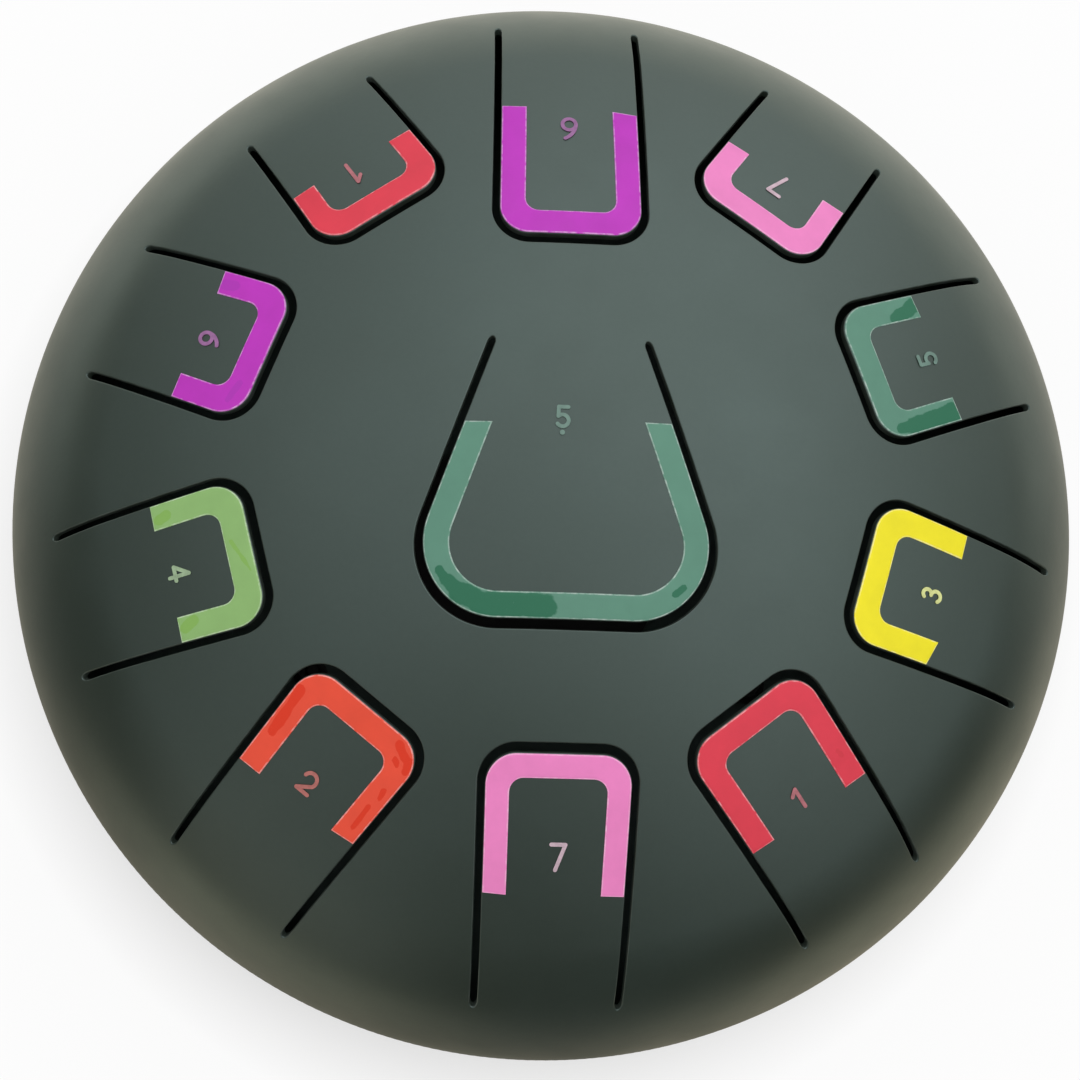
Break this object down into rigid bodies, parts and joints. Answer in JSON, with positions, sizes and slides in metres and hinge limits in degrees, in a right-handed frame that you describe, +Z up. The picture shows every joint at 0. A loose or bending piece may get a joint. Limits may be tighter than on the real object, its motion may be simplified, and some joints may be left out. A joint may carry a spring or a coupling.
{
  "type": "steel tongue drum",
  "caption": "Round dished steel tongue drum: slit-cut sprung tongues with coloured vinyl bands and numerals, welded to a lower shell with a sound port and rubber feet.",
  "frame": {"origin": "on the floor plane under the drum's axis, level with the bottoms of the feet", "axes": "+Z up along the drum's axis, +Y from the player's side to the far side (towards the low 6 tongue), +X to the player's right"},
  "size_m": [0.2542, 0.2542, 0.1341],
  "materials": {
    "shell_paint": "satin slate grey-green paint",
    "foot_rubber": "matt black",
    "fastener_steel": "black oxide",
    "vinyl_red": "satin cut vinyl",
    "vinyl_orange": "satin cut vinyl",
    "vinyl_yellow": "satin cut vinyl",
    "vinyl_light_green": "satin cut vinyl",
    "vinyl_green": "satin cut vinyl",
    "vinyl_purple": "satin cut vinyl",
    "vinyl_pink": "satin cut vinyl"
  },
  "bodies": {
    "drum": {"upper_shell": "shell_paint", "lower_shell": "shell_paint", "rim_weld": "shell_paint", "foot_back": "foot_rubber", "foot_left": "foot_rubber", "foot_right": "foot_rubber", "foot_screws": "fastener_steel", "foot_washers": "fastener_steel", "foot_nuts": "fastener_steel"},
    "note_low_5": {"tongue_low_5": "shell_paint", "band_low_5": "vinyl_green", "numeral_low_5": "vinyl_green"},
    "note_low_6": {"tongue_low_6": "shell_paint", "band_low_6": "vinyl_purple", "numeral_low_6": "vinyl_purple"},
    "note_low_7": {"tongue_low_7": "shell_paint", "band_low_7": "vinyl_pink", "numeral_low_7": "vinyl_pink"},
    "note_1": {"tongue_1": "shell_paint", "band_1": "vinyl_red", "numeral_1": "vinyl_red"},
    "note_2": {"tongue_2": "shell_paint", "band_2": "vinyl_orange", "numeral_2": "vinyl_orange"},
    "note_3": {"tongue_3": "shell_paint", "band_3": "vinyl_yellow", "numeral_3": "vinyl_yellow"},
    "note_4": {"tongue_4": "shell_paint", "band_4": "vinyl_light_green", "numeral_4": "vinyl_light_green"},
    "note_5": {"tongue_5": "shell_paint", "band_5": "vinyl_green", "numeral_5": "vinyl_green"},
    "note_6": {"tongue_6": "shell_paint", "band_6": "vinyl_purple", "numeral_6": "vinyl_purple"},
    "note_7": {"tongue_7": "shell_paint", "band_7": "vinyl_pink", "numeral_7": "vinyl_pink"},
    "note_high_1": {"tongue_high_1": "shell_paint", "band_high_1": "vinyl_red", "numeral_high_1": "vinyl_red"}
  },
  "joints": [
    {"name": "low_5_flex", "type": "hinge", "parent": "drum", "child": "note_low_5", "pos_m": [0, 0.0281, 0.1321], "axis": [1, 0, 0], "range_deg": [-0.5, 0.5], "stiffness_Nm_per_rad": 158},
    {"name": "low_6_flex", "type": "hinge", "parent": "drum", "child": "note_low_6", "pos_m": [0, 0.1109, 0.10075], "axis": [1, 0, 0], "range_deg": [-0.5, 0.5], "stiffness_Nm_per_rad": 157},
    {"name": "low_7_flex", "type": "hinge", "parent": "drum", "child": "note_low_7", "pos_m": [0, -0.1133, 0.09838], "axis": [-1, 0, 0], "range_deg": [-0.5, 0.5], "stiffness_Nm_per_rad": 168},
    {"name": "1_flex", "type": "hinge", "parent": "drum", "child": "note_1", "pos_m": [0.07034, -0.08907, 0.09817], "axis": [-0.7848, -0.6198, 0], "range_deg": [-0.5, 0.5], "stiffness_Nm_per_rad": 179},
    {"name": "2_flex", "type": "hinge", "parent": "drum", "child": "note_2", "pos_m": [-0.07041, -0.08915, 0.09807], "axis": [-0.7848, 0.6198, 0], "range_deg": [-0.5, 0.5], "stiffness_Nm_per_rad": 186},
    {"name": "3_flex", "type": "hinge", "parent": "drum", "child": "note_3", "pos_m": [0.1092, -0.02865, 0.0988], "axis": [-0.2538, -0.9673, 0], "range_deg": [-0.5, 0.5], "stiffness_Nm_per_rad": 202},
    {"name": "4_flex", "type": "hinge", "parent": "drum", "child": "note_4", "pos_m": [-0.10795, -0.02832, 0.10009], "axis": [-0.2538, 0.9673, 0], "range_deg": [-0.5, 0.5], "stiffness_Nm_per_rad": 212},
    {"name": "5_flex", "type": "hinge", "parent": "drum", "child": "note_5", "pos_m": [0.10302, 0.03996, 0.10112], "axis": [0.3616, -0.9323, 0], "range_deg": [-0.5, 0.5], "stiffness_Nm_per_rad": 224},
    {"name": "6_flex", "type": "hinge", "parent": "drum", "child": "note_6", "pos_m": [-0.10022, 0.03887, 0.10362], "axis": [0.3616, 0.9323, 0], "range_deg": [-0.5, 0.5], "stiffness_Nm_per_rad": 242},
    {"name": "7_flex", "type": "hinge", "parent": "drum", "child": "note_7", "pos_m": [0.05992, 0.08817, 0.1043], "axis": [0.8271, -0.5621, 0], "range_deg": [-0.5, 0.5], "stiffness_Nm_per_rad": 261},
    {"name": "high_1_flex", "type": "hinge", "parent": "drum", "child": "note_high_1", "pos_m": [-0.05902, 0.08684, 0.10542], "axis": [0.8271, 0.5621, 0], "range_deg": [-0.5, 0.5], "stiffness_Nm_per_rad": 273}
  ]
}
